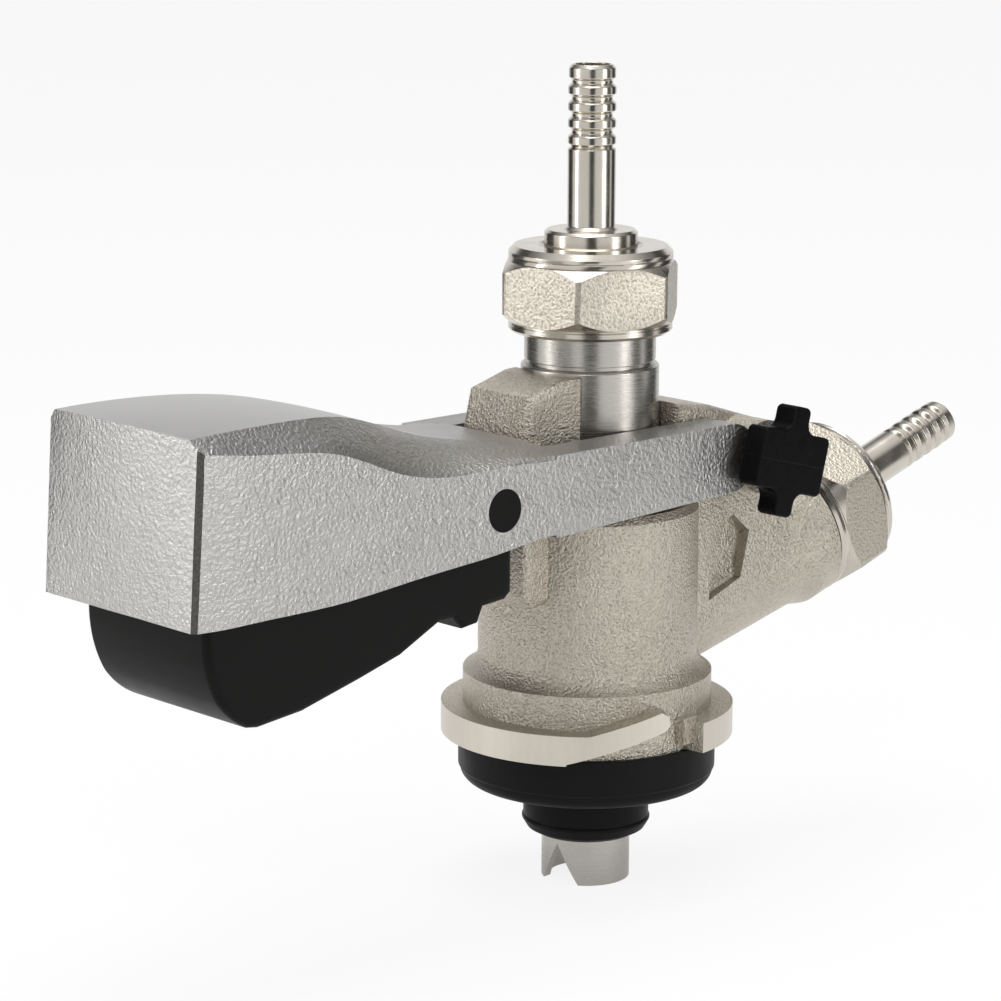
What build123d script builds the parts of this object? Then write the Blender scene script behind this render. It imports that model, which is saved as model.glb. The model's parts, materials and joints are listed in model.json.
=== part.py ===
"""Keg coupler: a cast body that locks on a keg neck, a sliding probe, and a squeeze-to-release lever.

Units are millimetres. +Z runs up the probe axis, the origin is on that axis at the underside of the
locking flange, -X points to the lever's grip and +X to the gas inlet. The lever is down, so the
probe is down and the keg valve would be open.
"""
from build123d import *
import math
import os

# Clearances
RUN = 0.05              # running fit on a pin or shaft, on the radius
GAP = 0.3               # free gap between pieces that move past each other
SEAT = 0.02             # gap between pieces that seat in each other

# Body
BODY_R = 19.0           # main cylinder
BAND_R = 21.6           # band above the locking lugs
BAND_TOP = 11.0
BAND_BLEND = 4.0
LEDGE_Z = 41.0          # where the cylinder stops below the lever's arms
CHAMBER_R = 14.0        # gas chamber round the probe
CHAMBER_TOP = 22.0
LUG_R = 25.4            # outside of the two locking lugs
LUG_T = 5.2
LUG_START = 97.0        # where the first lug starts, in degrees about the axis
LUG_SPAN = 121.0        # its level part
RAMP_SPAN = 41.0        # its rising end
RAMP_RISE = 5.2         # how far its lower edge climbs
RAMP_TIP_T = 3.4        # its height at the tip
SEAL_BORE_R = 17.6      # recess that holds the keg seal
SEAL_BORE_D = 4.0

# Probe
PROBE_R = 11.84
PROBE_UPPER_R = 11.24
STEP_Z = 64.7           # where the shank steps down below the union nut
PISTON_Z = 22.8         # lower end of the full-size part
STEM_R = 8.4            # slim part inside the gas chamber
TIP_R = 7.7
TIP_Z = -26.6
BEER_BORE_R = 3.6
BALL_R = 4.4
BALL_CHAMBER_R = 5.2
TIP_BORE_R = 6.2
RING_R = 1.25           # section of the probe's sealing rings
RING_Z = (25.2, 29.2)

# Seals
PROBE_SEAL_R = 11.2
PROBE_SEAL_Z = (-18.3, -9.0)
KEG_SEAL_R = 22.4
KEG_SEAL_Z = -8.9
KEG_SEAL_LIP_Z = -6.4
SEAL_GROOVE_D = 0.9

# Lever
LEVER_W = 19.1          # half of the width over the arms
LEVER_BULGE = 0.5
ARM_T = 7.0
ARM_TOP = 54.5
ARM_END_R = 6.0
PIVOT_X = 15.5
PIVOT_Z = 48.5
PIVOT_R = 2.5
HEAD_END = -101.5
HEAD_WALL = 4.0
END_R = 88.0            # bow of the head's end face, seen from above
LUG_PIN_R = 2.75        # inward lugs that lift the probe
LUG_PIN_BITE = 2.4
SWING_CLEAR = 40.7      # everything the lever carries past the tower stays outside this radius

# Trigger
TRIGGER_W = 15.3
TRIGGER_X = -37.5
TRIGGER_Z = 47.0
TRIGGER_PIN_R = 2.0
CAP_R = 3.56
CAP_D = 1.2
SPRING_X = -62.0
SPRING_R = 3.6
SPRING_WIRE = 0.55
SPRING_SEAT_Z = 42.0
SPRING_TOP_Z = 55.2

# Tower and gas-side block
TOWER_W = 8.0
BLOCK_W = 11.6
BLOCK_LOW_W = 12.2

# Pressure relief valve
PRV_X = 24.6
PRV_Z = 47.5
PRV_BORE_R = 4.4
PRV_STEM_R = 1.5
PRV_BOSS_R = 6.4
PRV_BOSS_Y = 18.4
KNOB_BACK = 20.6
KNOB_T = 4.4
KNOB_TILT = 15.0
KNOB_BAR = (16.8, 10.4)
KNOB_POST = (4.4, 19.2)
PRV_TRAVEL = 3.0

# Unions: the same nut and tailpiece serve beer and gas
NUT_AF = 28.0
NUT_R = 14.0
NUT_H = 14.6
NUT_HEX = (2.6, 11.2)
NUT_HOLE_R = 8.15
NUT_LIP = 2.6
THREAD_R = 11.3
TAIL_R = 7.94
TAIL_FLANGE_R = 10.8
TAIL_FLANGE_T = 2.7
WASHER_T = 1.2
TUBE_R = 4.06
BARB_R = 4.06
BARB_ROOT_R = 3.45
BARB_PITCH = 2.8
BARBS = 4
TAIL_STAND = 30.5       # from the nut's outer face to the end of the tube
TAIL_BORE_R = 3.0
BEER_NUT_Z = 70.2
BEER_NUT_TURN = 38.0

# Gas inlet
GAS_Z = 12.7            # where the inlet's axis crosses the probe's axis
GAS_RISE = 18.0
GAS_NUT_S = 52.7        # from that crossing to the nut's inner face
NECK_R = (10.6, 12.4)
NECK_S = (16.0, 44.5)
NECK_COLLAR_R = 13.9
NECK_COLLAR_S = (47.0, 50.2)
GAS_BORE_R = 4.5
VALVE_R = 8.4
VALVE_D = 9.0


def turned(*outline):
    """A solid of revolution about Z from (radius, height) points."""
    return revolve(Plane.XZ * make_face(Polyline(*outline, close=True)), Axis.Z)


def ring(outer, inner, low, high):
    return turned((inner, low), (outer, low), (outer, high), (inner, high))


def rod_y(x, z, radius, y_from, y_to):
    """A round rod along Y."""
    middle = (y_from + y_to) / 2
    return Pos(x, middle, z) * Rot(90, 0, 0) * Cylinder(radius, abs(y_to - y_from))


def side_plate(half_width, *outline):
    """A plate with an outline in X and Z, as wide on both sides of the middle."""
    face = Plane.XZ * make_face(Polyline(*outline, close=True))
    return extrude(face, amount=half_width, both=True)


def on_gas_axis(shape):
    """Stands a piece made along Z on the gas inlet's axis."""
    return Pos(0, 0, GAS_Z) * Rot(0, 90 - GAS_RISE, 0) * shape


def both_sides(shape):
    return shape + mirror(shape, Plane.XZ)


# ---------------------------------------------------------------- body

def locking_lug(turn):
    level = ring(LUG_R, BODY_R, 0, LUG_T)
    wedge = extrude(make_face([
        Line((0, 0), (2 * LUG_R, 0)),
        ThreePointArc(
            (2 * LUG_R, 0),
            (2 * LUG_R * math.cos(math.radians(LUG_SPAN / 2)), 2 * LUG_R * math.sin(math.radians(LUG_SPAN / 2))),
            (2 * LUG_R * math.cos(math.radians(LUG_SPAN)), 2 * LUG_R * math.sin(math.radians(LUG_SPAN)))),
        Line((2 * LUG_R * math.cos(math.radians(LUG_SPAN)), 2 * LUG_R * math.sin(math.radians(LUG_SPAN))), (0, 0)),
    ]), amount=LUG_T)
    level = level & wedge
    run = LUG_R * math.tan(math.radians(RAMP_SPAN / 2))
    top = RAMP_RISE + RAMP_TIP_T
    profile = Plane.XZ * make_face(Polyline(
        (-run, 0), (run - 1.0, RAMP_RISE), (run, RAMP_RISE + 1.0), (run - 0.3, top - 0.8),
        (run - 1.6, top), (-run / 2, LUG_T), (-run - 3, LUG_T), (-run - 3, 0), close=True))
    slab = Pos(0, -BODY_R + 2, 0) * extrude(profile, amount=LUG_R)
    slab = Rot(0, 0, LUG_SPAN - 1 + RAMP_SPAN / 2 + 90) * slab
    ramp = slab & ring(LUG_R, BODY_R, 0, top + 1)
    return Rot(0, 0, turn) * (level + ramp)


def lug_stop(turn):
    """The small cast stop in front of a lug's lower end."""
    return Rot(0, 0, turn) * Pos(BAND_R, 0, LUG_T / 2 + 1.2) * Box(3.4, 3.6, LUG_T - 0.6)


def lower_casting():
    corner = (BODY_R + 0.3 * (BAND_R - BODY_R), BAND_TOP + 0.3 * BAND_BLEND)
    outline = [
        Polyline((0, 0), (BAND_R, 0), (BAND_R, BAND_TOP)),
        ThreePointArc((BAND_R, BAND_TOP), corner, (BODY_R, BAND_TOP + BAND_BLEND)),
        Polyline((BODY_R, BAND_TOP + BAND_BLEND), (BODY_R, LEDGE_Z - 1.2), (BODY_R - 1.2, LEDGE_Z),
                 (0, LEDGE_Z), (0, 0)),
    ]
    return revolve(Plane.XZ * make_face(outline), Axis.Z)


def tower():
    block = side_plate(
        TOWER_W, (-10, 27), (-20.5, 25.5), (-22.6, 28), (-22.6, 55.7), (-21, 61.8), (-14, 63.8), (-10, 63.8))
    corners = block.edges().filter_by(lambda e: e.center().X < -13 and abs(abs(e.center().Y) - TOWER_W) < 0.01)
    return fillet(corners, 1.6)


def gas_block():
    upper = side_plate(
        BLOCK_W, (10, LEDGE_Z - 1), (10, 57.6), (19, 56.2), (31, 52.4), (35, 49), (36.5, 44), (36.5, LEDGE_Z - 1))
    corners = upper.edges().filter_by(lambda e: e.center().Z > LEDGE_Z + 1 and abs(abs(e.center().Y) - BLOCK_W) < 0.01)
    upper = fillet(corners, 1.8)
    lower = side_plate(BLOCK_LOW_W, (10, 18), (32, 24), (39, 34), (36.5, LEDGE_Z), (10, LEDGE_Z))
    pocket = side_plate(
        BLOCK_LOW_W + 1, (17.6, 22), (17.6, 34.5), (23.5, 36.5), (27.5, 33), (25.5, 25))
    pocket -= side_plate(BLOCK_LOW_W - 2.2, (10, 10), (10, 50), (40, 50), (40, 10))
    return upper + lower - pocket


def gas_neck():
    low_r, high_r = NECK_R
    low_s, high_s = NECK_S
    collar_from, collar_to = NECK_COLLAR_S
    spigot = THREAD_R + 0.6
    return on_gas_axis(turned(
        (0, 0), (low_r, 0), (low_r, low_s), (high_r, high_s), (NECK_COLLAR_R - 0.4, collar_from),
        (NECK_COLLAR_R, collar_from + 1), (NECK_COLLAR_R, collar_to), (spigot, collar_to),
        (spigot, collar_to + 1), (THREAD_R, collar_to + 1), (THREAD_R, GAS_NUT_S + 8.0), (0, GAS_NUT_S + 8.0)))


def coupler_body():
    shell = lower_casting() + tower() + gas_block() + gas_neck()
    for half in (0, 180):
        shell += locking_lug(LUG_START + half)
        shell += lug_stop(LUG_START + half - 2)
    shell += rod_y(PRV_X, PRV_Z, PRV_BOSS_R, -BLOCK_W + 1, -PRV_BOSS_Y)
    # the lever's arms swing past both flanks
    shell -= rod_y(PIVOT_X, PIVOT_Z, ARM_END_R + 0.6, -BLOCK_W, -LEVER_W - 2)
    # bores for the probe, the gas and the keg seal
    shell -= turned((0, -1), (SEAL_BORE_R, -1), (SEAL_BORE_R, SEAL_BORE_D), (CHAMBER_R, SEAL_BORE_D),
                    (CHAMBER_R, CHAMBER_TOP), (0, CHAMBER_TOP))
    shell -= ring(PROBE_R + RUN, 0, CHAMBER_TOP - 1, 70)
    shell -= on_gas_axis(Pos(0, 0, CHAMBER_R * 0.8) * Cylinder(
        GAS_BORE_R, GAS_NUT_S, align=(Align.CENTER, Align.CENTER, Align.MIN)))
    shell -= on_gas_axis(Pos(0, 0, GAS_NUT_S + 8.0 - VALVE_D) * Cylinder(
        VALVE_R, VALVE_D + 1, align=(Align.CENTER, Align.CENTER, Align.MIN)))
    # hinge pin
    shell -= rod_y(PIVOT_X, PIVOT_Z, PIVOT_R + RUN, -BLOCK_W - 1, BLOCK_W + 1)
    # relief valve chamber, its stem hole, its feed from the neck and its vent
    shell -= rod_y(PRV_X, PRV_Z, PRV_BORE_R, -8, BLOCK_W + 1)
    shell -= rod_y(PRV_X, PRV_Z, PRV_STEM_R + RUN, 0, -PRV_BOSS_Y - 1)
    feed_z = GAS_Z + PRV_X * math.tan(math.radians(GAS_RISE))
    shell -= Pos(PRV_X, 7.2, (feed_z + PRV_Z) / 2) * Cylinder(1.1, PRV_Z - feed_z)
    shell -= on_gas_axis(Pos(0, 3.5, PRV_X / math.cos(math.radians(GAS_RISE))) * Rot(90, 0, 0) * Cylinder(1.6, 8))
    shell -= Pos(PRV_X + 6, -5.5, PRV_Z) * Rot(0, 90, 0) * Cylinder(1.0, 12)
    return shell


# ---------------------------------------------------------------- probe

def probe():
    groove_low = PIVOT_Z - LUG_PIN_R - 0.35
    groove_high = PIVOT_Z + LUG_PIN_R + 0.35
    groove_r = PROBE_R - LUG_PIN_BITE - GAP
    seal_low, seal_high = PROBE_SEAL_Z
    seal_r = TIP_R - SEAL_GROOVE_D
    top = BEER_NUT_Z + NUT_H - NUT_LIP - TAIL_FLANGE_T - WASHER_T
    body = turned(
        (0, TIP_Z), (TIP_R, TIP_Z), (TIP_R, seal_low + 0.6), (seal_r, seal_low + 0.6), (seal_r, seal_high),
        (STEM_R + 1.2, seal_high), (STEM_R + 1.2, seal_high + 2.2), (STEM_R, seal_high + 3.4),
        (STEM_R, PISTON_Z - 1.5), (PROBE_R - 0.6, PISTON_Z - 1.5), (PROBE_R, PISTON_Z), (PROBE_R, groove_low),
        (groove_r, groove_low), (groove_r, groove_high), (PROBE_R, groove_high), (PROBE_R, STEP_Z - 0.4),
        (PROBE_R - 0.4, STEP_Z), (PROBE_UPPER_R - 0.35, STEP_Z), (PROBE_UPPER_R - 0.35, STEP_Z + 0.7),
        (PROBE_UPPER_R, STEP_Z + 0.7), (PROBE_UPPER_R, top - 1), (PROBE_UPPER_R - 1, top), (0, top))
    for height in RING_Z:
        body -= ring(PROBE_R + 1, PROBE_R - 2 * RING_R - 0.05, height - RING_R, height + RING_R)
    seat = -11.0
    chamber_top = 3.6
    body -= turned(
        (0, TIP_Z - 1), (TIP_BORE_R, TIP_Z - 1), (TIP_BORE_R, -14.0), (BEER_BORE_R, -12.4), (BEER_BORE_R, seat),
        (BALL_CHAMBER_R, seat + 1.8), (BALL_CHAMBER_R, chamber_top), (BEER_BORE_R + 0.4, chamber_top + 1.6),
        (BEER_BORE_R + 0.4, top + 1), (0, top + 1))
    notch = side_plate(12, (0, -19.6), (4.4, TIP_Z - 1), (-4.4, TIP_Z - 1))
    body -= Rot(0, 0, 96) * notch
    return body


def ball_z():
    """Height of the ball's centre when it rests on its 45 degree seat."""
    slope = math.atan2(1.8, BALL_CHAMBER_R - BEER_BORE_R)
    return -11.0 - BEER_BORE_R * math.tan(slope) + BALL_R / math.cos(slope) + 0.02


def beer_check_ball():
    return Pos(0, 0, ball_z()) * Sphere(BALL_R)


def ball_retainer():
    return ring(BALL_CHAMBER_R - SEAT, 2.6, 2.2, 3.4)


def probe_rings():
    parts = [
        revolve(Plane.XZ * Pos(PROBE_R - RING_R, height) * Circle(RING_R - 0.03), Axis.Z) for height in RING_Z]
    return Compound(children=parts)


def probe_seal():
    low, high = PROBE_SEAL_Z
    inner = TIP_R - SEAL_GROOVE_D + SEAT
    outer = PROBE_SEAL_R
    return turned(
        (TIP_R + SEAT, low), (outer - 2.4, low), (outer - 0.9, low + 0.8), (outer, low + 2.3),
        (outer, low + 2.7), (outer - 0.25, low + 3.0), (outer - 0.1, high - 0.8), (outer - 0.8, high - SEAT),
        (inner, high - SEAT), (inner, low + 0.6 + SEAT), (TIP_R + SEAT, low + 0.6 + SEAT))


def keg_seal():
    inner = PROBE_SEAL_R + 0.6
    spigot = SEAL_BORE_R - SEAT
    round_r = KEG_SEAL_LIP_Z - KEG_SEAL_Z
    edge = KEG_SEAL_R - 0.3
    middle = (edge - 0.3 * round_r, KEG_SEAL_Z + 0.3 * round_r)
    outline = [
        Polyline((edge, KEG_SEAL_LIP_Z), (KEG_SEAL_R, KEG_SEAL_LIP_Z + 0.3), (KEG_SEAL_R, -SEAT), (spigot, -SEAT),
                 (spigot, SEAL_BORE_D - SEAT), (inner + 2.0, SEAL_BORE_D - SEAT), (inner, KEG_SEAL_Z + 4.0),
                 (inner, KEG_SEAL_Z + 1.2), (inner + 1.2, KEG_SEAL_Z), (edge - round_r, KEG_SEAL_Z)),
        ThreePointArc((edge - round_r, KEG_SEAL_Z), middle, (edge, KEG_SEAL_LIP_Z)),
    ]
    return revolve(Plane.XZ * make_face(outline), Axis.Z)


# ---------------------------------------------------------------- unions

def union_nut():
    hexagon = extrude(RegularPolygon(NUT_AF / 2 / math.cos(math.radians(30)), 6), amount=NUT_H)
    low, high = NUT_HEX
    chamfer_r = NUT_AF / 2 / math.cos(math.radians(30))
    hexagon &= turned(
        (0, low - 1.2), (NUT_R - 0.3, low - 1.2), (chamfer_r, low + 1.0), (chamfer_r, high - 1.0),
        (NUT_R - 0.3, high + 1.2), (0, high + 1.2))
    collars = turned(
        (0, 0), (NUT_R - 0.5, 0), (NUT_R, 0.5), (NUT_R, low), (NUT_R - 0.6, low), (NUT_R - 0.6, high),
        (NUT_R, high), (NUT_R, NUT_H - 1.0), (NUT_R - 0.9, NUT_H), (0, NUT_H))
    nut = hexagon + collars
    nut -= turned(
        (0, -1), (THREAD_R + 0.12, -1), (THREAD_R + 0.12, NUT_H - NUT_LIP), (NUT_HOLE_R, NUT_H - NUT_LIP),
        (NUT_HOLE_R, NUT_H - 0.8), (NUT_HOLE_R + 0.9, NUT_H), (NUT_HOLE_R + 0.9, NUT_H + 1), (0, NUT_H + 1))
    return nut


def tailpiece():
    seat = NUT_H - NUT_LIP - TAIL_FLANGE_T
    rim = NUT_H + 2.7
    end = NUT_H + TAIL_STAND
    outline = [
        (TAIL_BORE_R, seat), (TAIL_FLANGE_R, seat), (TAIL_FLANGE_R, seat + TAIL_FLANGE_T - SEAT),
        (TAIL_R, seat + TAIL_FLANGE_T - SEAT), (TAIL_R, rim - 0.5), (TAIL_R - 0.5, rim), (TUBE_R + 0.6, rim),
        (TUBE_R, rim + 0.6)]
    first = end - 2.6 - BARBS * BARB_PITCH
    outline += [(TUBE_R, first - 0.4), (BARB_ROOT_R, first)]
    for index in range(BARBS):
        low = first + index * BARB_PITCH
        outline += [(BARB_R, low + 0.5), (BARB_R, low + 1.7), (BARB_ROOT_R, low + BARB_PITCH - 0.5),
                    (BARB_ROOT_R, low + BARB_PITCH)]
    outline += [(BARB_R - 0.1, end - 2.2), (BARB_R - 0.1, end - 0.6), (BARB_R - 0.6, end), (TAIL_BORE_R, end)]
    return turned(*outline)


def union_washer():
    top = NUT_H - NUT_LIP - TAIL_FLANGE_T
    return ring(TAIL_FLANGE_R - 0.2, 4.2, top - WASHER_T + SEAT, top - SEAT)


def gas_check_valve():
    """Rubber duckbill that lets gas in and keeps beer out."""
    top = GAS_NUT_S + 8.0
    flange = ring(VALVE_R - SEAT, 3.0, top - 1.8, top - SEAT)
    sleeve = Pos(0, 0, top - 8.0) * (Cylinder(4.2, 6.6, align=(Align.CENTER, Align.CENTER, Align.MIN))
                                     - Cylinder(3.0, 8, align=(Align.CENTER, Align.CENTER, Align.MIN)))
    lips = Pos(0, 0, top - 8.0) * Cylinder(4.2, 1.2, align=(Align.CENTER, Align.CENTER, Align.MIN))
    slit = Pos(0, 0, top - 8.0) * Box(0.4, 5.6, 4)
    return on_gas_axis(flange + sleeve + lips - slit)


# ---------------------------------------------------------------- lever

def head_section(x, bottom, side, ridge, ridge_w, half_w, edge=1.3):
    """One cross-section of the lever's head and neck, at a distance along it."""
    return Plane(origin=(x, 0, 0), x_dir=(0, 1, 0), z_dir=(1, 0, 0)) * make_face(Polyline(
        (-half_w, bottom), (half_w, bottom), (half_w, side - edge), (half_w - edge, side - 0.1),
        (ridge_w, ridge), (-ridge_w, ridge), (-half_w + edge, side - 0.1), (-half_w, side - edge), close=True))


def lever_head():
    bulge = LEVER_W + LEVER_BULGE
    sections = [
        head_section(HEAD_END, 37.4, 64.2, 65.0, 17.0, bulge - 0.8),
        head_section(-92, 37.1, 63.6, 65.3, 16.6, bulge),
        head_section(-79.6, 37.2, 62.4, 65.0, 15.2, bulge),
        head_section(-69.6, 37.5, 60.4, 64.0, 13.0, bulge - 0.2),
        head_section(-60, 38.3, 57.4, 62.2, 10.6, LEVER_W + 0.1),
        head_section(-50, 39.1, 55.0, 59.8, 9.0, LEVER_W, 0.8),
        head_section(-38, 40.1, ARM_TOP, 57.2, 8.8, LEVER_W, 0.3),
        head_section(-24, 40.9, ARM_TOP, 55.6, 8.8, LEVER_W, 0.15),
    ]
    end_curve = Pos(HEAD_END + END_R, 0, 50) * Cylinder(END_R, 60)
    return loft(sections) & end_curve


def lever_arm():
    inner = LEVER_W - ARM_T
    outline = make_face(Polyline(
        (-26, 40.8), (PIVOT_X, PIVOT_Z - ARM_END_R), (PIVOT_X, PIVOT_Z + ARM_END_R), (-26, ARM_TOP), close=True))
    arm = Pos(0, -inner, 0) * extrude(Plane.XZ * outline, amount=ARM_T)
    arm += rod_y(PIVOT_X, PIVOT_Z, ARM_END_R, -inner, -LEVER_W)
    arm += rod_y(0, PIVOT_Z, LUG_PIN_R, -LEVER_W + 1, -PROBE_R + LUG_PIN_BITE)
    return arm


def lever():
    inner = LEVER_W - ARM_T
    pocket_w = TRIGGER_W + 0.5
    end = HEAD_END + HEAD_WALL
    solid = lever_head() + both_sides(lever_arm())
    # hollow for the trigger, open below
    solid -= side_plate(
        pocket_w, (end, 30), (end, 60.6), (-80, 60.2), (-66, 57.6), (-54, 54.4), (-44, 51.6), (-32, 51.4), (-32, 30))
    solid -= side_plate(inner, (-33, 30), (-33, 51.4), (-20, 51.4), (-20, 30))
    # window that clears the tower over the whole swing
    solid -= rod_y(PIVOT_X, PIVOT_Z, SWING_CLEAR, -inner, inner) & side_plate(
        inner, (-40, 30), (30, 30), (30, 70), (-40, 70))
    solid += both_sides(rod_y(0, PIVOT_Z, LUG_PIN_R, -LEVER_W + 1, -PROBE_R + LUG_PIN_BITE))
    # hinge holes: blind on one side
    solid -= rod_y(PIVOT_X, PIVOT_Z, PIVOT_R + RUN, -LEVER_W + 1.4, LEVER_W + 1)
    # trigger pin and its caps
    solid -= rod_y(TRIGGER_X, TRIGGER_Z, TRIGGER_PIN_R + SEAT, -LEVER_W, LEVER_W)
    solid -= both_sides(rod_y(TRIGGER_X, TRIGGER_Z, CAP_R + SEAT, -LEVER_W + CAP_D, -LEVER_W - 2))
    return solid


def hinge_pin():
    return rod_y(PIVOT_X, PIVOT_Z, PIVOT_R, -LEVER_W + 1.6, LEVER_W - 0.4)


def trigger_pin():
    return rod_y(TRIGGER_X, TRIGGER_Z, TRIGGER_PIN_R, -LEVER_W + CAP_D + SEAT, LEVER_W - CAP_D - SEAT)


def pin_caps():
    cap = rod_y(TRIGGER_X, TRIGGER_Z, CAP_R, -LEVER_W + CAP_D, -LEVER_W + 0.05)
    return Compound(children=[cap, mirror(cap, Plane.XZ)])


def trigger():
    outline = [
        Polyline((-33.2, 49.8), (-32.0, 39.0), (-32.0, 32.0), (-33.4, 30.8), (-38.2, 30.4), (-39.4, 27.8),
                 (-42.6, 27.4), (-44.5, 29.6), (-47.7, 29.4), (-56.2, 25.4), (-64.5, 23.8), (-76.6, 21.8),
                 (-85.5, 20.9), (-87.5, 21.2)),
        ThreePointArc((-87.5, 21.2), (-93.2, 26.0), (-95.9, 36.0)),
        Polyline((-95.9, 36.0), (-96.2, 46.0), (-60.0, 46.0), (-46.0, 49.8), (-33.2, 49.8)),
    ]
    grip = extrude(Plane.XZ * make_face(outline), amount=TRIGGER_W, both=True)
    long_edges = grip.edges().filter_by(
        lambda e: abs(abs(e.center().Y) - TRIGGER_W) < 0.01 and e.center().Z < 42)
    grip = fillet(long_edges, 1.4)
    narrow = LEVER_W - ARM_T - GAP
    grip -= both_sides(Pos(-25, -narrow - 5, 40) * Box(14.4, 10, 60))
    grip -= side_plate(TRIGGER_W - 2.6, (-91.2, 27), (-92.6, 34), (-92.6, 60), (-52, 60), (-52, 30), (-64, 26.5))
    post = Pos(SPRING_X, 0, 26) * Cylinder(
        SPRING_R + 2, SPRING_SEAT_Z - 26, align=(Align.CENTER, Align.CENTER, Align.MIN))
    grip += post & side_plate(TRIGGER_W, (-90, 23), (-90, 45), (-50, 45), (-50, 27), (-64, 24.5))
    grip -= rod_y(TRIGGER_X, TRIGGER_Z, TRIGGER_PIN_R + RUN, -TRIGGER_W - 1, TRIGGER_W + 1)
    return grip


def trigger_spring():
    turns = 6
    low = SPRING_SEAT_Z + SPRING_WIRE + 0.1
    pitch = (SPRING_TOP_Z - SPRING_SEAT_Z - 2 * SPRING_WIRE - 0.3) / turns
    path = Pos(0, 0, low) * Helix(pitch, pitch * turns, SPRING_R)
    section = Plane(origin=path @ 0, z_dir=path % 0) * Circle(SPRING_WIRE)
    return Pos(SPRING_X, 0, 0) * sweep(section, path=path, is_frenet=True)


# ---------------------------------------------------------------- relief valve

def prv_stem():
    """Stem with the disc that carries the seal."""
    stem = rod_y(PRV_X, PRV_Z, PRV_STEM_R, 2.6, -KNOB_BACK - 2.6)
    return stem + rod_y(PRV_X, PRV_Z, PRV_BORE_R - 0.8, 0.2, 1.8)


def prv_seal():
    disc = rod_y(PRV_X, PRV_Z, PRV_BORE_R - 1.0, 1.8 + SEAT, 3.4)
    return disc - rod_y(PRV_X, PRV_Z, PRV_STEM_R + SEAT, 0, 2.6 + SEAT)


def prv_seat():
    seat = rod_y(PRV_X, PRV_Z, PRV_BORE_R - SEAT, 3.42, 6.0)
    return seat - rod_y(PRV_X, PRV_Z, 2.0, 3, 7)


def prv_plug():
    plug = rod_y(PRV_X, PRV_Z, PRV_BORE_R - SEAT, 8.6, BLOCK_W)
    return plug - Pos(PRV_X, BLOCK_W, PRV_Z) * Box(2 * PRV_BORE_R, 2, 1.0)


def prv_spring():
    turns = 3
    path = Helix(1.15, 1.15 * turns, PRV_BORE_R - 1.5)
    section = Plane(origin=path @ 0, z_dir=path % 0) * Circle(0.4)
    coil = sweep(section, path=path, is_frenet=True)
    return Pos(PRV_X, -0.3, PRV_Z) * Rot(90, 0, 0) * coil


def prv_knob():
    """Plus-shaped pull knob: a wide bar with a narrow lug above and below."""
    bar = Box(KNOB_BAR[0], KNOB_BAR[1], KNOB_T)
    post = Box(KNOB_POST[0], KNOB_POST[1], KNOB_T)
    star = bar + post
    inner = star.edges().filter_by(Axis.Z).filter_by(
        lambda e: abs(abs(e.center().X) - KNOB_POST[0] / 2) < 0.01 and abs(e.center().Y) < KNOB_BAR[1] / 2 + 0.01)
    star = fillet(inner, 2.0)
    outer = star.edges().filter_by(Axis.Z).filter_by(
        lambda e: abs(e.center().X) > KNOB_BAR[0] / 2 - 0.01 or abs(e.center().Y) > KNOB_POST[1] / 2 - 0.01)
    star = fillet(outer, 1.1)
    star = Pos(PRV_X, -KNOB_BACK - KNOB_T / 2, PRV_Z) * Rot(90, 0, 0) * Rot(0, 0, -KNOB_TILT) * star
    return star - rod_y(PRV_X, PRV_Z, PRV_STEM_R + SEAT, -KNOB_BACK + 1, -KNOB_BACK - 2.7)


def beer_union(shape):
    return Pos(0, 0, BEER_NUT_Z) * Rot(0, 0, BEER_NUT_TURN) * shape


def gas_union(shape):
    return on_gas_axis(Pos(0, 0, GAS_NUT_S) * shape)


def main():
    nut = union_nut()
    tail = tailpiece()
    washer = union_washer()
    nodes = {
        "coupler_body": coupler_body(),
        "keg_seal": keg_seal(),
        "probe": probe(),
        "probe_seal": probe_seal(),
        "probe_o_rings": probe_rings(),
        "beer_check_ball": beer_check_ball(),
        "ball_retainer": ball_retainer(),
        "beer_nut": beer_union(nut),
        "beer_tailpiece": beer_union(tail),
        "beer_washer": beer_union(washer),
        "gas_nut": gas_union(nut),
        "gas_tailpiece": gas_union(tail),
        "gas_washer": gas_union(washer),
        "gas_check_valve": gas_check_valve(),
        "lever": lever(),
        "lever_hinge_pin": hinge_pin(),
        "trigger_grip": trigger(),
        "trigger_pin": trigger_pin(),
        "trigger_pin_caps": pin_caps(),
        "trigger_spring": trigger_spring(),
        "relief_valve_stem": prv_stem(),
        "relief_valve_seal": prv_seal(),
        "relief_valve_seat": prv_seat(),
        "relief_valve_plug": prv_plug(),
        "relief_valve_spring": prv_spring(),
        "relief_valve_knob": prv_knob(),
    }
    os.makedirs("parts", exist_ok=True)
    for name, shape in nodes.items():
        export_step(shape, f"parts/{name}.step")


main()
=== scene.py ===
"""Looks of the keg coupler: its plated fittings, cast body, lever and grip, on a pale floor."""
import json
import math
import bmesh
import bpy
from mathutils import Matrix, Vector


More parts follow.
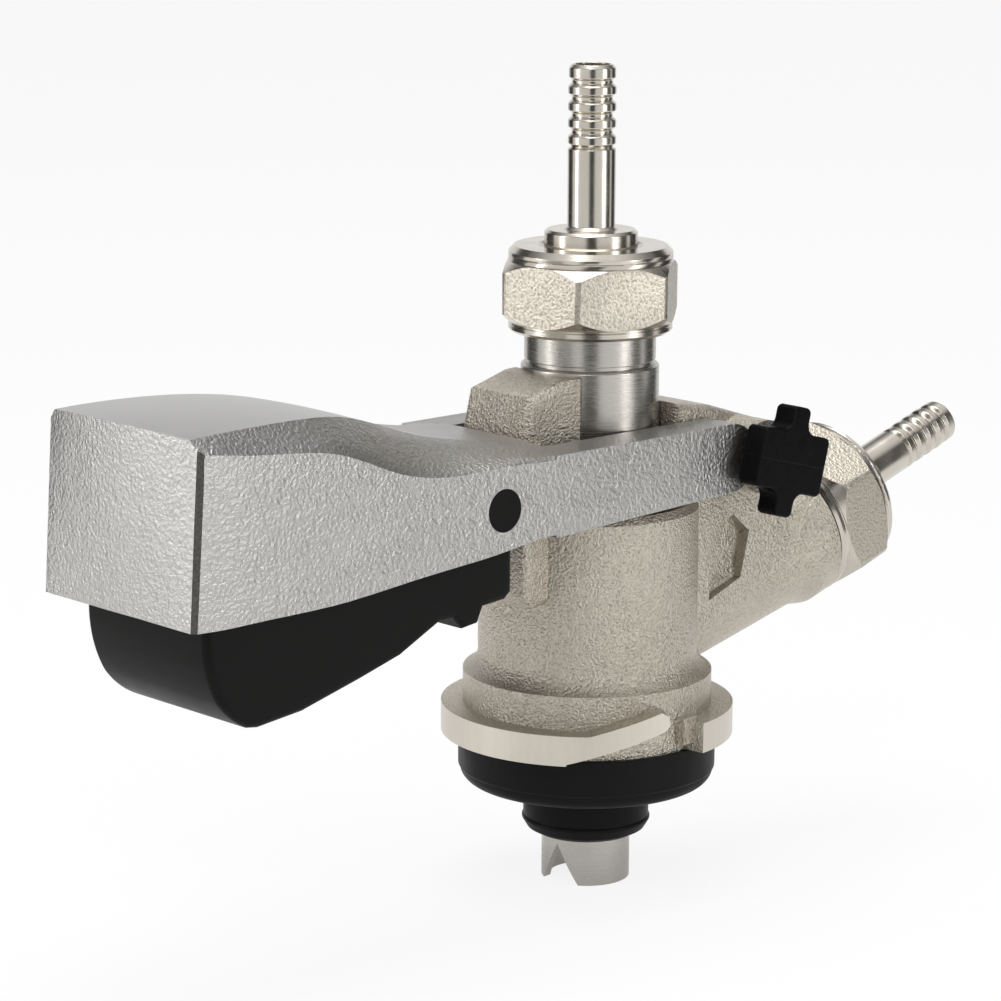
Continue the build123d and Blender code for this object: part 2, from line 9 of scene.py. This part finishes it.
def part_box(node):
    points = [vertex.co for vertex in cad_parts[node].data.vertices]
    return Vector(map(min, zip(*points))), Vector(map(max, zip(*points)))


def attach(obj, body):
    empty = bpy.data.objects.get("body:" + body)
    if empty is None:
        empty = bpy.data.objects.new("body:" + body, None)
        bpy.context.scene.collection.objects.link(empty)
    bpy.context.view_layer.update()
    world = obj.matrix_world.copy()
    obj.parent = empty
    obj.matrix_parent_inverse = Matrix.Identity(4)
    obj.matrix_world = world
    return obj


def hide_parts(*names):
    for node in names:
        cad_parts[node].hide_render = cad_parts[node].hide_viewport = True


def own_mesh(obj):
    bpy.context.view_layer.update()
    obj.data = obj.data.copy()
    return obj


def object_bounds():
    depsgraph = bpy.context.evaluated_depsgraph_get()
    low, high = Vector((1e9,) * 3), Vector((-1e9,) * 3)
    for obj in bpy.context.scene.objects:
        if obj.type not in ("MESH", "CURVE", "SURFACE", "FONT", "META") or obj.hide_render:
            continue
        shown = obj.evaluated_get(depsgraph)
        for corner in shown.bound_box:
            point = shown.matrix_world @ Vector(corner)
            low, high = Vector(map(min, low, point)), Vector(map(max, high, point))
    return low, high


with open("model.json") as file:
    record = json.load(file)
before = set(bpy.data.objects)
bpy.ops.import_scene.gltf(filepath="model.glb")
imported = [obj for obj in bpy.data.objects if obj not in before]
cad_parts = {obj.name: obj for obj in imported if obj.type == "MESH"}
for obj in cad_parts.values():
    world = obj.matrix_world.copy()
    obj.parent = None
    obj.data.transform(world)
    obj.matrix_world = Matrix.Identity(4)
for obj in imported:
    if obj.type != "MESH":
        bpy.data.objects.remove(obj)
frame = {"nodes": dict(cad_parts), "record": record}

MM = 0.001
cad_low, cad_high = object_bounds()

# The coupler's places and sizes are in millimetres, in its own frame.

# Gas line
GAS_CROSSING = 12.7         # height where it meets the probe's axis
GAS_RISE = math.radians(18)
NECK_COLLAR_END = 50.2      # along the line, the end face of the cast neck's collar
NECK_COLLAR_R = 11.5        # only what is outside this radius there belongs to its lip
NECK_REACH = 1.9            # how far the rolled lip runs on towards the nut
BARE_FROM = 51.3            # along the line, where bare brass takes over from the plating
BARE_R = 11.0               # and only outside this radius

# Union nuts
NUT_HEX = (2.5, 11.3)       # the flats are in this span up a nut
NUT_COLLAR_R = 13.3         # flats and grooves are outside this radius
NUT_CORNER_R = 15.0         # the hexagon's corners are outside this radius
NUT_CORNER_L = 4            # and longer than this
NUT_CORNER_CUT = 1.0
NUT_GROOVES = (1.35, 12.1, 12.9)
GROOVE_W = 0.3
GROOVE_D = 0.15

# Locking lugs
LUG_RIM_R = 25.2            # their machined rims are outside this radius
LUG_RIM_TOP = 12            # and below this height

# Lever's head
HEAD_CORNER_X = -97         # its upright corners are past this
HEAD_CORNER_Y = 17.5        # and this far out to the sides
HEAD_CORNER_L = 2           # longer than this
HEAD_CORNER_ANGLE = math.radians(40)    # and sharper than this
HEAD_CORNER_CUT = 0.75
HEAD_FACE_X = -98.6         # its end face is past this
HEAD_FACE_Z = (64.5, 37.5)  # top and foot of the end face
FOOT_SHARE = 0.9            # how far the foot goes from bowed to square
CROWN_FROM = -40            # faces past this that look up are cut so that they can swell
CROWN_LOOK_UP = 0.8
CROWN_CUTS = range(-12, 13, 4)
CROWN_X = (-44, -70)        # where the crown begins, and where it is whole
CROWN_Z = (56, 60)
CROWN_HALF_W = 20
CROWN_EDGE_RISE = 1.0
CROWN_MIDDLE_RISE = 1.0     # what the middle has on top of that
# The smoothed top also gets a lighter colour than the sides, which is painted light.
SMOOTH_PAINTED_LIGHT_TOP_X = -45          # the smoothed top is past this
SMOOTH_PAINTED_LIGHT_TOP_Z = 54.6         # above this
SMOOTH_PAINTED_LIGHT_TOP_LOOK_UP = 0.93   # and looks up

# Trigger
BELLY_X = (-52, -80)        # where the fuller belly begins, and where it is whole
BELLY_Z = (35, 26)
BELLY_DROP = 2.1

# Relief valve knob
KNOB_TILT = math.radians(15)

# Meshes and their edges
SAME_PLACE = 0.002          # points nearer together than this are one
SAME_PLANE = math.radians(0.4)      # faces that meet at less than this are one flat face
EDGE_ANGLE = math.radians(30)       # and at less than this, one smooth surface
EDGE_ROUND = {"coupler_body": 0.6, "lever": 1.0, "trigger_grip": 0.3, "relief_valve_knob": 0.5}
FINE_ROUND = 0.12           # how far the other pieces' edges are rounded

# ---------------------------------------------------------------- node arithmetic


class Value:
    """A node's output that takes part in plain arithmetic through Math nodes."""

    def __init__(self, tree, socket):
        self.tree = tree
        self.socket = socket

    def math(self, operation, first, second):
        return add_node(self.tree, "ShaderNodeMath", {"operation": operation}, {0: first, 1: second})

    def __add__(self, other):
        return self.math("ADD", self, other)

    __radd__ = __add__

    def __sub__(self, other):
        return self.math("SUBTRACT", self, other)

    def __rsub__(self, other):
        return self.math("SUBTRACT", other, self)

    def __mul__(self, other):
        return self.math("MULTIPLY", self, other)

    __rmul__ = __mul__


def connect(tree, socket, value):
    """Links a value to a socket, or sets the socket to a constant."""
    if isinstance(value, Value):
        tree.links.new(value.socket, socket)
    else:
        socket.default_value = value


def set_stops(ramp, stops):
    """Gives a colour ramp its stops, each a position and a grey."""
    while len(ramp.elements) < len(stops):
        ramp.elements.new(0.5)
    for element, (position, grey) in zip(ramp.elements, stops):
        element.position = position
        element.color = (grey, grey, grey, 1)


def add_node(tree, kind, settings=None, inputs=None, output=0):
    """Makes a node, first with its settings and then with its sockets, and gives back one output."""
    node = tree.nodes.new(kind)
    for name, value in (settings or {}).items():
        if name == "stops":
            set_stops(node.color_ramp, value)
        else:
            setattr(node, name, value)
    for name, value in (inputs or {}).items():
        connect(tree, node.inputs[name], value)
    return Value(tree, node.outputs[output])


class Finish:
    """A material with its shader, its object coordinates and a short way to add nodes."""

    def __init__(self, name, metallic=0.0, roughness=0.5, **constants):
        self.material = bpy.data.materials.new(name)
        self.material.use_nodes = True
        self.tree = self.material.node_tree
        self.shader = self.tree.nodes["Principled BSDF"]
        self.set("Metallic", metallic)
        self.set("Roughness", roughness)
        for socket, value in constants.items():
            self.set(socket.replace("_", " "), value)
        self.place = self.node("ShaderNodeTexCoord", output="Object")

    def node(self, kind, settings=None, inputs=None, output=0):
        return add_node(self.tree, kind, settings, inputs, output)

    def set(self, socket, value):
        connect(self.tree, self.shader.inputs[socket], value)

    def noise(self, size_mm, detail=2.0, rough=0.5, stretch=None):
        place = self.place
        if stretch:
            place = self.node("ShaderNodeMapping", inputs={"Vector": place, "Scale": stretch})
        return self.node("ShaderNodeTexNoise", inputs={
            "Vector": place, "Scale": 1 / (size_mm * MM), "Detail": detail, "Roughness": rough})

    def level(self, value, low, high, to_low=0.0, to_high=1.0):
        return self.node("ShaderNodeMapRange", {"clamp": True}, {
            "Value": value, "From Min": low, "From Max": high, "To Min": to_low, "To Max": to_high})

    def blend(self, mask, first, second):
        """A colour that goes from first to second with the mask."""
        first, second = (
            (*colour, 1) if isinstance(colour, tuple) else colour for colour in (first, second))
        return self.node("ShaderNodeMix", {"data_type": "RGBA"}, {
            "Factor": mask, 6: first, 7: second}, output=2)

    def bump(self, height, depth_mm, strength=1.0):
        normal = self.node("ShaderNodeBump", inputs={
            "Height": height, "Distance": depth_mm * MM, "Strength": strength}, output="Normal")
        self.set("Normal", normal)


# ---------------------------------------------------------------- finishes


def cast_nickel():
    """Blasted, nickel-plated casting: warm silver with a fine grain."""
    finish = Finish("blasted nickel casting", metallic=1.0)
    grain = finish.noise(0.4, 2.0, 0.5)
    patches = finish.noise(8, 3.0)
    tone = finish.blend(patches, (0.52, 0.475, 0.40), (0.605, 0.56, 0.485))
    finish.set("Base Color", finish.blend(finish.level(grain, 0.30, 0.5), (0.40, 0.36, 0.30), tone))
    finish.set("Roughness", finish.level(grain, 0.3, 0.75, 0.42, 0.3))
    finish.bump(grain + finish.noise(1.0, 2.0) * 0.5, 0.42, 1.0)
    return finish.material


def machined_nickel():
    """The bright machined rims of the locking lugs."""
    finish = Finish("machined nickel rim", metallic=1.0)
    lines = finish.noise(1.0, 3.0, 0.6, (1, 1, 0.12))
    finish.set("Base Color", finish.blend(lines, (0.56, 0.52, 0.45), (0.66, 0.62, 0.55)))
    finish.set("Roughness", finish.level(lines, 0.2, 0.8, 0.26, 0.38))
    finish.bump(lines, 0.03, 0.3)
    return finish.material


def bare_brass():
    """The brass that shows where the gas union's plating ends."""
    finish = Finish("bare brass edge", metallic=1.0)
    tarnish = finish.noise(1.2, 3.0)
    finish.set("Base Color", finish.blend(tarnish, (0.12, 0.08, 0.045), (0.34, 0.25, 0.15)))
    finish.set("Roughness", finish.level(tarnish, 0.3, 0.7, 0.3, 0.45))
    return finish.material


def blasted_hex():
    """The flats of the union nuts, blasted before plating."""
    finish = Finish("blasted nickel flats", metallic=1.0)
    grain = finish.noise(0.5, 2.0, 0.5)
    pits = finish.level(grain, 0.32, 0.5)
    finish.set("Base Color", finish.blend(pits, (0.38, 0.34, 0.278), (0.54, 0.50, 0.43)))
    finish.set("Roughness", finish.level(grain, 0.3, 0.7, 0.42, 0.3))
    finish.bump(grain, 0.16, 0.7)
    return finish.material


def polished_nickel():
    finish = Finish("polished nickel", metallic=1.0)
    haze = finish.noise(5, 3.0)
    finish.set("Base Color", finish.blend(haze, (0.56, 0.52, 0.455), (0.66, 0.625, 0.56)))
    finish.set("Roughness", finish.level(haze, 0.3, 0.7, 0.16, 0.25))
    finish.bump(finish.noise(0.9, 2.0, 0.5, (1, 1, 6)), 0.012, 0.3)
    return finish.material


def turned_steel():
    """Fine-turned stainless, with faint rings round the axis."""
    finish = Finish("turned stainless", metallic=1.0)
    rings = finish.noise(1.4, 4.0, 0.65, (0.15, 0.15, 9))
    haze = finish.noise(7, 2.0)
    finish.set("Base Color", finish.blend(haze, (0.44, 0.42, 0.385), (0.53, 0.51, 0.475)))
    finish.set("Roughness", finish.level(rings, 0.3, 0.7, 0.2, 0.32))
    finish.bump(rings, 0.02, 0.5)
    return finish.material


def lever_metal():
    """Satin cast metal with a fine orange peel and a few casting marks."""
    finish = Finish("satin cast lever", metallic=1.0)
    peel = finish.noise(0.65, 2.0, 0.5)
    rub = finish.noise(5.0, 4.0, 0.6, (0.3, 1, 1))
    marks = finish.level(finish.noise(2.6, 4.0, 0.7), 0.68, 0.78)
    tone = finish.blend(rub, (0.39, 0.382, 0.37), (0.48, 0.471, 0.458))
    finish.set("Base Color", finish.blend(marks, tone, (0.34, 0.33, 0.32)))
    finish.set("Roughness", finish.level(rub, 0.25, 0.75, 0.32, 0.42))
    finish.bump(peel + finish.noise(2.0, 2.0) * 0.5, 0.28, 0.75)
    return finish.material


def lever_top_painted_light():
    """The smoothed top of the lever's head, in a lighter copy of the lever metal that is painted light.
    """
    finish = Finish("smoothed lever top with painted light", metallic=1.0)
    cloud = finish.noise(6, 3.0, 0.6, (0.4, 1, 1))
    # Lighter than the lever's sides: painted light on the top.
    finish.set("Base Color", finish.blend(cloud, (0.52, 0.515, 0.505), (0.60, 0.595, 0.585)))
    finish.set("Roughness", finish.level(cloud, 0.3, 0.7, 0.36, 0.44))
    finish.bump(finish.noise(0.8, 2.0), 0.05, 0.4)
    return finish.material


def lever_chamfer_painted_shade():
    """The rough ground chamfers on the lever's corners, painted near black as painted shade."""
    finish = Finish("rough lever chamfer with painted shade", metallic=1.0)
    grain = finish.noise(0.45, 3.0, 0.6)
    # Near black for a metal: painted shade on the corner flats.
    finish.set("Base Color", finish.blend(grain, (0.035, 0.033, 0.031), (0.20, 0.19, 0.18)))
    finish.set("Roughness", finish.level(grain, 0.3, 0.7, 0.35, 0.55))
    finish.bump(grain, 0.25, 0.9)
    return finish.material


def moulded_black():
    """Matte moulded plastic of the trigger."""
    finish = Finish("matte black moulding", roughness=0.42, Specular_IOR_Level=0.07)
    spark = finish.noise(0.35, 2.0)
    dust = finish.noise(14, 4.0, 0.6)
    finish.set("Base Color", finish.blend(dust, (0.0062, 0.0058, 0.0056), (0.0098, 0.0094, 0.0090)))
    finish.set("Roughness", finish.level(dust, 0.3, 0.7, 0.34, 0.46))
    finish.bump(spark, 0.02, 0.3)
    return finish.material


def knob_black():
    """Black knob with a fine mould line across its middle."""
    finish = Finish("semi-gloss black knob", roughness=0.3, Specular_IOR_Level=0.06)
    scuff = finish.noise(2.5, 5.0, 0.7)
    low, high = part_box("relief_valve_knob")
    upward = Vector((math.sin(KNOB_TILT), 0, math.cos(KNOB_TILT)))
    height = finish.node("ShaderNodeVectorMath", {"operation": "DOT_PRODUCT"}, {
        0: finish.place, 1: upward}, output="Value")
    middle = (low + high).dot(upward) / 2
    from_line = finish.node("ShaderNodeMath", {"operation": "ABSOLUTE"}, {0: height - middle})
    line = finish.level(from_line, 0.10 * MM, 0.22 * MM, 1.0, 0.0)
    tone = finish.blend(finish.level(scuff, 0.66, 0.78), (0.0045, 0.0045, 0.0047), (0.03, 0.03, 0.03))
    finish.set("Base Color", tone)
    finish.set("Roughness", finish.level(scuff, 0.3, 0.7, 0.22, 0.36))
    finish.bump(line + finish.noise(0.6, 2.0) * 0.15, 0.12, 0.5)
    return finish.material


def seal_rubber():
    finish = Finish("black seal rubber", roughness=0.5, Specular_IOR_Level=0.07)
    bloom = finish.noise(6, 4.0, 0.6)
    finish.set("Base Color", finish.blend(bloom, (0.0060, 0.0060, 0.0063), (0.0100, 0.0099, 0.0097)))
    finish.set("Roughness", finish.level(bloom, 0.3, 0.7, 0.34, 0.5))
    finish.bump(finish.noise(0.5, 2.0), 0.02, 0.3)
    return finish.material


def spring_wire():
    finish = Finish("drawn spring wire", metallic=1.0)
    draw = finish.noise(0.5, 2.0)
    finish.set("Base Color", finish.blend(draw, (0.36, 0.35, 0.34), (0.5, 0.49, 0.48)))
    finish.set("Roughness", finish.level(draw, 0.3, 0.7, 0.25, 0.4))
    return finish.material


def washer_fibre():
    finish = Finish("white washer plastic", roughness=0.5)
    cloud = finish.noise(2, 3.0)
    finish.set("Base Color", finish.blend(cloud, (0.62, 0.61, 0.57), (0.72, 0.71, 0.67)))
    return finish.material


def turned_brass():
    finish = Finish("turned brass", metallic=1.0)
    rings = finish.noise(0.8, 3.0, 0.6, (9, 0.2, 0.2))
    finish.set("Base Color", finish.blend(rings, (0.62, 0.46, 0.23), (0.76, 0.60, 0.34)))
    finish.set("Roughness", finish.level(rings, 0.3, 0.7, 0.2, 0.35))
    return finish.material


FINISHES = {
    "nickel_cast": cast_nickel(),
    "nickel_nut": blasted_hex(),
    "nickel_polished": polished_nickel(),
    "turned_steel": turned_steel(),
    "cast_aluminium": lever_metal(),
    "black_plastic": moulded_black(),
    "black_knob": knob_black(),
    "black_rubber": seal_rubber(),
    "spring_steel": spring_wire(),
    "washer_plastic": washer_fibre(),
    "brass": turned_brass(),
}
SLOT_OF = {row["node"]: row["material_slot"] for row in frame["record"]["subparts"]}
BODY_OF = {
    node: body for body, nodes in frame["record"]["behaviour"]["bodies"].items() for node in nodes}

for name, node in frame["nodes"].items():
    node.data.materials.clear()
    node.data.materials.append(FINISHES[SLOT_OF[name]])

# ---------------------------------------------------------------- pieces


def shade(edit):
    """Shades a mesh smooth, apart from its real edges."""
    for face in edit.faces:
        face.smooth = True
    for edge in edit.edges:
        edge.smooth = len(edge.link_faces) == 2 and edge.calc_face_angle(0) < EDGE_ANGLE


def finish_piece(edit, node, *more_materials):
    """Turns a bmesh into the shown piece of a CAD node, on that node's body and slot."""
    name = node + "_surface"
    shade(edit)
    mesh = bpy.data.meshes.new(name)
    edit.to_mesh(mesh)
    edit.free()
    for material in (FINISHES[SLOT_OF[node]], *more_materials):
        mesh.materials.append(material)
    piece = bpy.data.objects.new(name, mesh)
    bpy.context.scene.collection.objects.link(piece)
    bevel = piece.modifiers.new("soft edges", "BEVEL")
    bevel.width = EDGE_ROUND.get(node, FINE_ROUND) * MM
    bevel.segments = 2
    bevel.limit_method = "ANGLE"
    bevel.angle_limit = EDGE_ANGLE
    bevel.harden_normals = True
    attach(piece, BODY_OF[node])
    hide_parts(node)


def merged(node):
    """The node's mesh with its triangles joined into plain faces."""
    edit = bmesh.new()
    edit.from_mesh(frame["nodes"][node].data)
    bmesh.ops.remove_doubles(edit, verts=edit.verts, dist=SAME_PLACE * MM)
    bmesh.ops.dissolve_limit(
        edit, angle_limit=SAME_PLANE, verts=edit.verts, edges=edit.edges,
        use_dissolve_boundaries=False)
    return edit


class Spindle:
    """An axis with heights along it and radii from it, in millimetres."""

    def __init__(self, point, direction):
        self.point = Vector(point) * MM
        self.direction = Vector(direction).normalized()

    def height(self, place):
        return (place - self.point).dot(self.direction) / MM

    def outward(self, place):
        rest = place - self.point
        return rest - self.direction * rest.dot(self.direction)

    def radius(self, place):
        return self.outward(place).length / MM


UPRIGHT = Spindle((0, 0, 0), (0, 0, 1))
GAS_LINE = Spindle((0, 0, GAS_CROSSING), (math.cos(GAS_RISE), 0, math.sin(GAS_RISE)))


def cut_groove(edit, spindle, height, least_r):
    """A fine turned groove round a collar."""
    for step in (-0.5, 0, 0.5):
        level = spindle.point + spindle.direction * (height + step * GROOVE_W) * MM
        bmesh.ops.bisect_plane(
            edit, geom=edit.verts[:] + edit.edges[:] + edit.faces[:], dist=0.0005 * MM,
            plane_co=level, plane_no=spindle.direction)
    for vert in edit.verts:
        if abs(spindle.height(vert.co) - height) < 0.01 and spindle.radius(vert.co) > least_r:
            vert.co -= spindle.outward(vert.co).normalized() * GROOVE_D * MM


def cut_flats(edit, corners, cut):
    """Cuts a flat along each sharp corner, and gives back the flats' faces."""
    made = bmesh.ops.bevel(
        edit, geom=corners, offset=cut * MM, segments=1, affect="EDGES", profile=0.5, material=-1)
    return made["faces"]


def union_nut(node, spindle):
    """Blasted flats between two polished, grooved collars."""
    edit = merged(node)
    base = min(spindle.height(vert.co) for vert in edit.verts)
    corners = [
        edge for edge in edit.edges
        if abs((edge.verts[0].co - edge.verts[1].co).normalized().dot(spindle.direction)) > 0.99
        and edge.calc_length() > NUT_CORNER_L * MM
        and spindle.radius(edge.verts[0].co) > NUT_CORNER_R]
    cut_flats(edit, corners, NUT_CORNER_CUT)
    for height in NUT_GROOVES:
        cut_groove(edit, spindle, base + height, NUT_COLLAR_R)
    for face in edit.faces:
        place = face.calc_center_median()
        height = spindle.height(place) - base
        upright = abs(face.normal.dot(spindle.direction)) < 0.05
        on_hex = NUT_HEX[0] < height < NUT_HEX[1] and spindle.radius(place) > NUT_COLLAR_R
        face.material_index = 0 if on_hex and upright else 1
    finish_piece(edit, node, FINISHES["nickel_polished"])


def cast_body():
    """The body, with machined rims on its lugs and a bare edge at the gas union."""
    edit = merged("coupler_body")
    for vert in edit.verts:
        on_end = abs(GAS_LINE.height(vert.co) - NECK_COLLAR_END) < 0.05
        if on_end and GAS_LINE.radius(vert.co) > NECK_COLLAR_R:
            vert.co += GAS_LINE.direction * NECK_REACH * MM
    for face in edit.faces:
        place = face.calc_center_median()
        on_rim = all(UPRIGHT.radius(vert.co) > LUG_RIM_R for vert in face.verts)
        if on_rim and place.z < LUG_RIM_TOP * MM:
            face.material_index = 1
        elif GAS_LINE.height(place) > BARE_FROM and GAS_LINE.radius(place) > BARE_R:
            face.material_index = 2
    finish_piece(edit, "coupler_body", machined_nickel(), bare_brass())


def part_way(value, limits):
    """How far a value is from the first limit to the second, from 0 to 1."""
    first, second = limits
    return min(max((value - first) / (second - first), 0), 1)


def ease(share):
    """The same share with a gentle start and end."""
    return share * share * (3 - 2 * share)


def crown_head(edit):
    """Swells the top of the lever's head into a low crown."""
    for across in CROWN_CUTS:
        top = [
            face for face in edit.faces
            if face.normal.z > CROWN_LOOK_UP and face.calc_center_median().x < CROWN_FROM * MM]
        geom = list({part for face in top for part in (face, *face.edges, *face.verts)})
        bmesh.ops.bisect_plane(
            edit, geom=geom, dist=0.001 * MM, plane_co=(0, across * MM, 0), plane_no=(0, 1, 0))
    for vert in edit.verts:
        share = ease(part_way(vert.co.x / MM, CROWN_X)) * part_way(vert.co.z / MM, CROWN_Z)
        middle = 1 - min(abs(vert.co.y) / (CROWN_HALF_W * MM), 1) ** 2
        vert.co.z += share * (CROWN_EDGE_RISE + CROWN_MIDDLE_RISE * middle) * MM


def square_foot(edit):
    """Brings the foot of the head's end face out at its corners, so only its top is bowed."""
    for vert in edit.verts:
        if vert.co.x < HEAD_FACE_X * MM:
            share = part_way(vert.co.z / MM, HEAD_FACE_Z)
            vert.co.x += (cad_low.x - vert.co.x) * share * FOOT_SHARE


def head_corner(edge):
    """Whether an edge is one of the upright corners of the lever's head."""
    first, second = (vert.co for vert in edge.verts)
    return (
        all(end.x < HEAD_CORNER_X * MM and abs(end.y) > HEAD_CORNER_Y * MM for end in (first, second))
        and abs(first.z - second.z) > 1.5 * abs(first.y - second.y)
        and edge.calc_length() > HEAD_CORNER_L * MM
        and edge.calc_face_angle(0) > HEAD_CORNER_ANGLE)


def cast_lever():
    """The lever, with a smooth top painted lighter as painted light, and a rough flat ground on the
    upright corners of its head, painted near black as painted shade.
    """
    edit = merged("lever")
    crown_head(edit)
    square_foot(edit)
    flats = cut_flats(edit, [edge for edge in edit.edges if head_corner(edge)], HEAD_CORNER_CUT)
    for face in edit.faces:
        place = face.calc_center_median()
        on_top = place.z > SMOOTH_PAINTED_LIGHT_TOP_Z * MM and place.x < SMOOTH_PAINTED_LIGHT_TOP_X * MM
        # Faces that look up get the smoother and lighter top finish; the lighter colour is painted
        # light.
        if on_top and face.normal.z > SMOOTH_PAINTED_LIGHT_TOP_LOOK_UP:
            face.material_index = 2
    # The corner flats take the near-black chamfer colour, which is painted shade.
    for face in flats:
        face.material_index = 1
    finish_piece(edit, "lever", lever_chamfer_painted_shade(), lever_top_painted_light())


def grip():
    """The trigger, with a fuller belly below the lever's head."""
    edit = merged("trigger_grip")
    for vert in edit.verts:
        along = ease(part_way(vert.co.x / MM, BELLY_X))
        vert.co.z -= BELLY_DROP * along * part_way(vert.co.z / MM, BELLY_Z) * MM
    finish_piece(edit, "trigger_grip")


cast_body()
cast_lever()
grip()
finish_piece(merged("relief_valve_knob"), "relief_valve_knob")
union_nut("beer_nut", UPRIGHT)
union_nut("gas_nut", GAS_LINE)

# The spring between lever and trigger gets shorter as the trigger is squeezed
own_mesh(frame["nodes"]["trigger_spring"])

for plain in ("beer_tailpiece", "gas_tailpiece", "probe", "keg_seal", "probe_seal", "trigger_pin_caps"):
    finish_piece(merged(plain), plain)

# ---------------------------------------------------------------- floor, light and camera

# Apart from the camera's place, the studio is laid out in metres.

CAMERA_AT = Vector((-424.7, -433.2, 169.2)) * MM
CAMERA_YAW = math.radians(47.0)
CAMERA_PITCH = math.radians(12.0)
CAMERA_ROLL = math.radians(0.24)
LENS = 129.5

FLOOR_HALF = 6.0
WHITE_SHARE = 0.86          # how much of the floor is plain white to the eye
MIRROR_SHARE = 0.4          # and to a metal's reflections
CARD_HEIGHT = 0.36
SKY_STOPS = ((0.0, 0.95), (0.66, 0.93), (0.74, 0.22), (0.84, 0.25), (0.94, 0.85))   # straight down to up


def camera():
    data = bpy.data.cameras.new("camera")
    data.lens = LENS
    data.sensor_width = 36
    data.clip_start = 0.01
    eye = bpy.data.objects.new("camera", data)
    bpy.context.scene.collection.objects.link(eye)
    level = math.cos(CAMERA_PITCH)
    forward = Vector((
        level * math.cos(CAMERA_YAW), level * math.sin(CAMERA_YAW), -math.sin(CAMERA_PITCH)))
    roll = Matrix.Rotation(CAMERA_ROLL, 3, "Z").to_quaternion()
    eye.location = CAMERA_AT
    eye.rotation_mode = "QUATERNION"
    eye.rotation_quaternion = forward.to_track_quat("-Z", "Y") @ roll
    bpy.context.scene.camera = eye


def set_out(edit, name, finish):
    """Puts a piece of the studio in the scene."""
    mesh = bpy.data.meshes.new(name)
    edit.to_mesh(mesh)
    edit.free()
    mesh.materials.append(finish.material)
    prop = bpy.data.objects.new(name, mesh)
    bpy.context.scene.collection.objects.link(prop)
    return prop


def floor():
    """A pale floor that stays nearly white to the eye, with only a faint shadow."""
    edit = bmesh.new()
    bmesh.ops.create_grid(edit, x_segments=2, y_segments=2, size=FLOOR_HALF)
    bmesh.ops.translate(edit, verts=edit.verts, vec=(0, 0, cad_low.z))
    finish = Finish("pale floor", roughness=0.9)
    wide = finish.noise(400, 2.0)
    finish.set("Base Color", finish.blend(wide, (0.90, 0.90, 0.90), (0.93, 0.93, 0.93)))
    eye, mirror, glass = (
        finish.node("ShaderNodeLightPath", output=ray)
        for ray in ("Is Camera Ray", "Is Glossy Ray", "Is Transmission Ray"))
    share = eye * WHITE_SHARE + mirror * MIRROR_SHARE + glass * WHITE_SHARE
    mix = finish.node("ShaderNodeMixShader", inputs={
        0: share.math("MINIMUM", share, WHITE_SHARE),
        1: Value(finish.tree, finish.shader.outputs[0]),
        2: finish.node("ShaderNodeEmission")})
    connect(finish.tree, finish.tree.nodes["Material Output"].inputs["Surface"], mix)
    set_out(edit, "floor", finish)


def dark_card(name, azimuth, distance, width):
    """A dark card stood beside the object, that only its reflections show."""
    edit = bmesh.new()
    bmesh.ops.create_grid(edit, x_segments=1, y_segments=1, size=0.5)
    bmesh.ops.scale(edit, verts=edit.verts, vec=(width, CARD_HEIGHT, 1))
    bmesh.ops.rotate(edit, verts=edit.verts, matrix=Matrix.Rotation(math.pi / 2, 3, "X"))
    bmesh.ops.translate(edit, verts=edit.verts, vec=(0, distance, cad_low.z + CARD_HEIGHT / 2))
    turn = Matrix.Rotation(math.radians(azimuth - 90), 3, "Z")
    bmesh.ops.rotate(edit, verts=edit.verts, matrix=turn)
    finish = Finish(name, roughness=0.9)
    finish.set("Base Color", (0.03, 0.03, 0.03, 1))
    card = set_out(edit, name, finish)
    card.visible_camera = False
    card.visible_diffuse = False
    card.visible_shadow = False


def lamp(name, at, aim, size, power):
    data = bpy.data.lights.new(name, "AREA")
    data.shape = "RECTANGLE"
    data.size, data.size_y = size
    data.energy = power
    light = bpy.data.objects.new(name, data)
    bpy.context.scene.collection.objects.link(light)
    light.location = at
    light.rotation_mode = "QUATERNION"
    light.rotation_quaternion = (Vector(aim) - Vector(at)).to_track_quat("-Z", "Y")


def surround():
    """A pale world with a darker belt above the horizon."""
    world = bpy.data.worlds.new("studio")
    bpy.context.scene.world = world
    world.use_nodes = True
    tree = world.node_tree
    place = add_node(tree, "ShaderNodeTexCoord", output="Generated")
    upward = add_node(tree, "ShaderNodeSeparateXYZ", inputs={0: place}, output="Z")
    belt = add_node(tree, "ShaderNodeValToRGB", {"stops": SKY_STOPS}, {"Fac": upward * 0.5 + 0.5})
    connect(tree, tree.nodes["Background"].inputs["Color"], belt)


def studio():
    """Soft lamps round the object, and dark cards between them that give the metal its bands."""
    surround()
    dark_card("front card", 227, 0.30, 0.13)
    dark_card("left card", 104, 0.32, 0.22)
    dark_card("arm card", 313, 0.34, 0.13)
    dark_card("right card", 352, 0.34, 0.20)
    lamp("left strip", (-0.47, 0.27, 0.22), (0, 0, 0.03), (0.10, 0.5), 0.75)
    lamp("right strip", (0.18, -0.55, 0.22), (0, 0, 0.03), (0.12, 0.5), 0.9)
    lamp("key", (-0.55, -0.45, 0.75), (0, 0, 0.04), (0.35, 0.35), 1.3)
    lamp("top", (0.05, 0.1, 0.9), (0, 0, 0), (0.5, 0.5), 3.1)


camera()
floor()
studio()
bpy.context.scene.view_settings.view_transform = "Standard"
